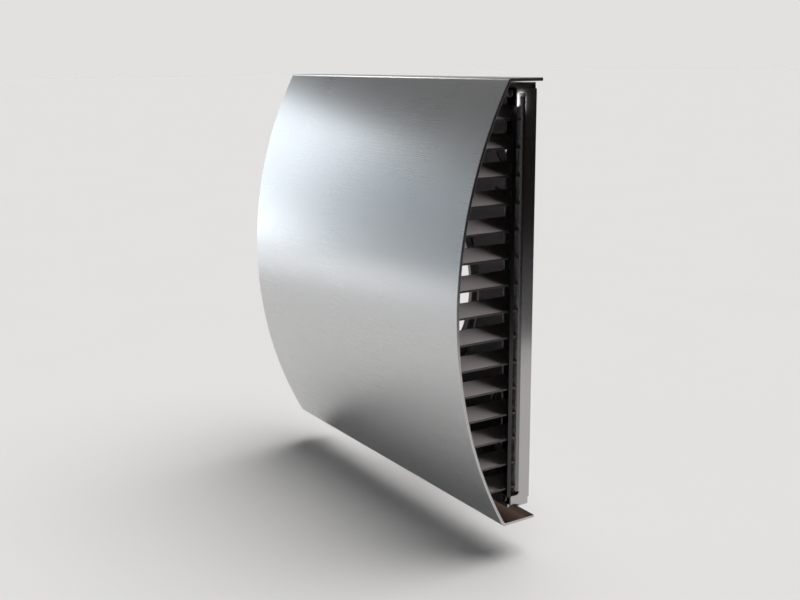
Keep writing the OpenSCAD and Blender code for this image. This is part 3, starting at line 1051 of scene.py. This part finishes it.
@dataclass(frozen=True)
class Card:
    """A card beside the set, which only shows in the steel: its heading, distance, size and level."""

    name: str
    heading: float
    distance: float
    width: float
    top: float
    level: Triple = (0.004, 0.002, 0.0015)
    shift: float = 0.0
    foot: float = 0.0
    fade: float = 0.16

    def build(self, floor_level: float) -> None:
        """Stands the card on the floor, square to its heading, and shades it from its foot upwards.

        Args:
            floor_level: Z of the floor.
        """
        ahead = np.array(compass(self.heading))
        aside = np.array([-ahead[1], ahead[0]])
        centre = ahead * self.distance + aside * self.shift
        left, right = tuple(centre + aside * self.width / 2), tuple(centre - aside * self.width / 2)
        corners = [(*left, floor_level), (*right, floor_level), (*right, self.top), (*left, self.top)]
        material = bpy.data.materials.new(self.name)
        material.use_nodes = True
        nodes = Nodes(material.node_tree)
        place = nodes.add("ShaderNodeTexCoord", {}, "Object")
        height = nodes.add("ShaderNodeSeparateXYZ", {"Vector": place}, "Z")
        shade = nodes.ranged(height, (floor_level, floor_level + self.fade), 0.0, 1.0, "SMOOTHERSTEP")
        tint = nodes.tinted(shade, tuple(max(self.foot, c) for c in self.level), self.level)
        glow = nodes.add("ShaderNodeEmission", {"Color": tint})
        nodes.link(glow, "Material Output", "Surface")
        card = stage_mesh(self.name, corners, material)
        card.visible_camera = card.visible_diffuse = card.visible_shadow = card.visible_transmission = False


@dataclass(frozen=True)
class WallFlag:
    """An unseen flag behind the hood that keeps the lamps off its back, as its wall does."""

    half_width: float = 129 * MM
    half_height: float = 134 * MM
    depth: float = 1.5 * MM

    def build(self) -> None:
        """Hangs the flag just behind the back pan, where its shadow lies inside the hood's own."""
        x, z, y = self.half_width, self.half_height, self.depth
        material = bpy.data.materials.new("wall_flag")
        flag = stage_mesh("wall_flag", [(-x, y, -z), (x, y, -z), (x, y, z), (-x, y, z)], material)
        flag.visible_camera = flag.visible_diffuse = flag.visible_glossy = flag.visible_transmission = False


def stage_mesh(
    name: str, corners: list[Triple], material: bpy.types.Material
) -> bpy.types.Object:
    """Makes one flat face that belongs to the studio and not to the hood.

    Args:
        name: its name.
        corners: its corners in order.
        material: its material.

    Returns:
        The object.
    """
    mesh = bpy.data.meshes.new(name)
    mesh.from_pydata(corners, [], [tuple(range(len(corners)))])
    mesh.materials.append(material)
    thing = added(name, mesh)
    return thing


def compass(heading: float) -> tuple[float, float]:
    """X and Y of the unit direction at a heading, in degrees from +X toward +Y."""
    return math.cos(math.radians(heading)), math.sin(math.radians(heading))


@dataclass
class Studio:
    """Pale floor, a dim room with a pale low band, lights, cards and the flag behind the hood."""

    floor_level: float = -162.5 * MM
    floor_half: float = 20.0
    floor_colour: Triple = (0.78, 0.78, 0.785)
    floor_roughness: float = 0.9
    mottle_waves: float = 6.0
    mottle: float = 0.01
    room: float = 0.17
    far: float = 0.757
    far_heading: float = 147.0
    dark: float = 0.005
    dark_heading: float = 35.0
    dark_lift: float = 0.25
    dark_edge: tuple[float, float] = (0.0, 0.3)
    far_edge: tuple[float, float] = (45.0, 27.0)
    pale_edge: tuple[float, float] = (148.0, 139.0)
    band_edge: tuple[float, float] = (6.0, 14.0)
    room_colour: Triple = (1.0, 0.99, 0.977)
    soft_grey: Triple = (0.16, 0.16, 0.155)

    def floor(self) -> None:
        """Lays a large plain floor that is clear from below."""
        material = bpy.data.materials.new("pale_floor")
        material.use_nodes = True
        nodes = Nodes(material.node_tree)
        shader = material.node_tree.nodes["Principled BSDF"]
        shader.inputs["Roughness"].default_value = self.floor_roughness
        shader.inputs["Specular IOR Level"].default_value = 0.0
        mottle = nodes.noise(nodes.add("ShaderNodeTexCoord", {}, "Object"), self.mottle_waves, 3.0, 0.5)
        low, high = (tuple(c * k for c in self.floor_colour) for k in (1 - self.mottle, 1 + self.mottle))
        nodes.link(nodes.tinted(mottle, low, high), "Principled BSDF", "Base Color")
        clear = nodes.add("ShaderNodeBsdfTransparent", {})
        below = nodes.add("ShaderNodeNewGeometry", {}, "Backfacing")
        mix = nodes.add("ShaderNodeMixShader", {0: below, 1: shader.outputs["BSDF"], 2: clear})
        nodes.link(mix, "Material Output", "Surface")
        h, z = self.floor_half, self.floor_level
        stage_mesh("studio_floor", [(-h, -h, z), (h, -h, z), (h, h, z), (-h, h, z)], material)

    def sky(self) -> None:
        """Sets up the room round the set: dim, darker on one side, and pale in a low band.

        The band lies toward the far direction of the photograph. The camera and the
        steel also see it round the rest of the room, apart from the part that the cover
        mirrors in the photograph's view.
        """
        world = bpy.data.worlds.new("studio_room")
        bpy.context.scene.world = world
        world.use_nodes = True
        nodes = Nodes(world.node_tree)
        way = nodes.add("ShaderNodeTexCoord", {}, "Generated")
        height = nodes.add("ShaderNodeSeparateXYZ", {"Vector": way}, "Z")
        band_edge = tuple(math.sin(math.radians(d)) for d in self.band_edge)
        low = nodes.ranged(height, band_edge, 1.0, 0.0, "SMOOTHSTEP")

        far_way, dark_way = (*compass(self.far_heading), 0.0), (*compass(self.dark_heading), self.dark_lift)
        to_far = nodes.add("ShaderNodeVectorMath", {0: way, 1: far_way}, "Value", operation="DOT_PRODUCT")
        to_dark = nodes.add("ShaderNodeVectorMath", {0: way, 1: dark_way}, "Value", operation="DOT_PRODUCT")
        far_edge = tuple(math.cos(math.radians(d)) for d in self.far_edge)
        pale_edge = tuple(math.cos(math.radians(d)) for d in self.pale_edge)
        ahead = nodes.ranged(to_far, far_edge, 0.0, self.far - self.room, "SMOOTHSTEP")
        shade = nodes.ranged(to_dark, self.dark_edge, self.room, self.dark, "SMOOTHSTEP")
        total = nodes.combined("ADD", nodes.combined("MULTIPLY", ahead, low), shade)

        pale = nodes.combined("MULTIPLY", nodes.ranged(to_dark, pale_edge, 0.0, 1.0), low)
        camera = nodes.add("ShaderNodeLightPath", {}, "Is Camera Ray")
        glossy = nodes.add("ShaderNodeLightPath", {}, "Is Glossy Ray")
        seen = nodes.combined("MAXIMUM", camera, glossy)
        share = nodes.combined("MULTIPLY", pale, seen)
        level = nodes.add("ShaderNodeMix", {0: share, 2: total, 3: self.far})
        world.node_tree.nodes["Background"].inputs["Color"].default_value = (*self.room_colour, 1.0)
        nodes.link(level, "Background", "Strength")

    def build(self) -> None:
        """Sets up the floor, the room, the lamps, the cards and the flag."""
        self.floor()
        self.sky()
        blue, corner = (0.87, 0.94, 1.0), (0.128, -0.0139, 0.1240)
        lamps = [
            DistantLight("high_light", (-0.10, -0.29, -0.95), 2.95, 60.0, (1.0, 0.985, 0.965), True),
            DistantLight("rim_light", (-0.120, -0.97, -0.20), 6.2, 22.0, (1.0, 0.91, 0.93), False),
            SoftBox("window_lamp", (-0.92, -0.175, 0.132), (0.0, -0.03, 0.02), (0.66, 0.535), 1.93, blue),
            SoftBox("fold_lamp", (-1.35, 0.12, 0.95), (0.0, -0.03, 0.1), (0.5, 0.25), 4.5),
            SoftBox("corner_lamp", (0.1533, 0.0066, 0.1226), corner, (0.0016, 0.011), 0.6, spread=60.0),
        ]
        for lamp in lamps:
            lamp.build()
        cards = [
            Card("side_card", 33.0, 0.62, 0.50, 1.5, foot=0.13),
            Card("right_card", -10.0, 0.62, 0.50, 1.5),
            Card("front_right_card", -52.0, 0.62, 0.50, 1.5, self.soft_grey),
            Card("low_board", 208.5, 0.80, 0.56, -0.075, (1.28, 1.31, 1.35)),
            Card("front_card", 277.0, 0.62, 0.50, 1.5, self.soft_grey),
            Card("grey_wall", 252.0, 1.1, 1.083, 0.43, (0.31, 0.345, 0.37), shift=-0.484),
        ]
        for card in cards:
            card.build(self.floor_level)
        WallFlag().build()
        log.info("studio: floor, room, lights, cards and flag")


@dataclass
class PhotoCamera:
    """The camera, as solved from the edges of the cover in the photograph."""

    place: Triple = (0.61457, -0.40623, 0.14864)
    heading: float = 1.0028
    pitch: float = -0.2257
    roll: float = 0.0085
    lens: float = 47.26
    sensor: float = 36.0
    nearest: float = 0.01

    def build(self) -> None:
        """Adds the camera and makes it the scene's."""
        data = bpy.data.cameras.new("photo_camera")
        data.lens, data.sensor_width = self.lens, self.sensor
        data.clip_start = self.nearest
        camera = added("photo_camera", data)
        turn = (
            Matrix.Rotation(self.heading, 4, "Z")
            @ Matrix.Rotation(self.pitch, 4, "X")
            @ Matrix.Rotation(self.roll, 4, "Y")
            @ Matrix.Rotation(math.pi / 2, 4, "X")
        )
        camera.matrix_world = Matrix.Translation(self.place) @ turn
        bpy.context.scene.camera = camera


def main() -> None:
    """Builds the camera, the hood's pieces and the studio."""
    logging.basicConfig(level=logging.INFO, format="%(name)s: %(message)s")
    bpy.context.scene.view_settings.view_transform = "Standard"
    PhotoCamera().build()
    cover = FrontCover()
    cover.build()
    Louvre(cover).build()
    DuctSpigot().build()
    Rivets().build()
    FoldedFrame().build()
    Studio().build()


if __name__ == "__main__":
    main()
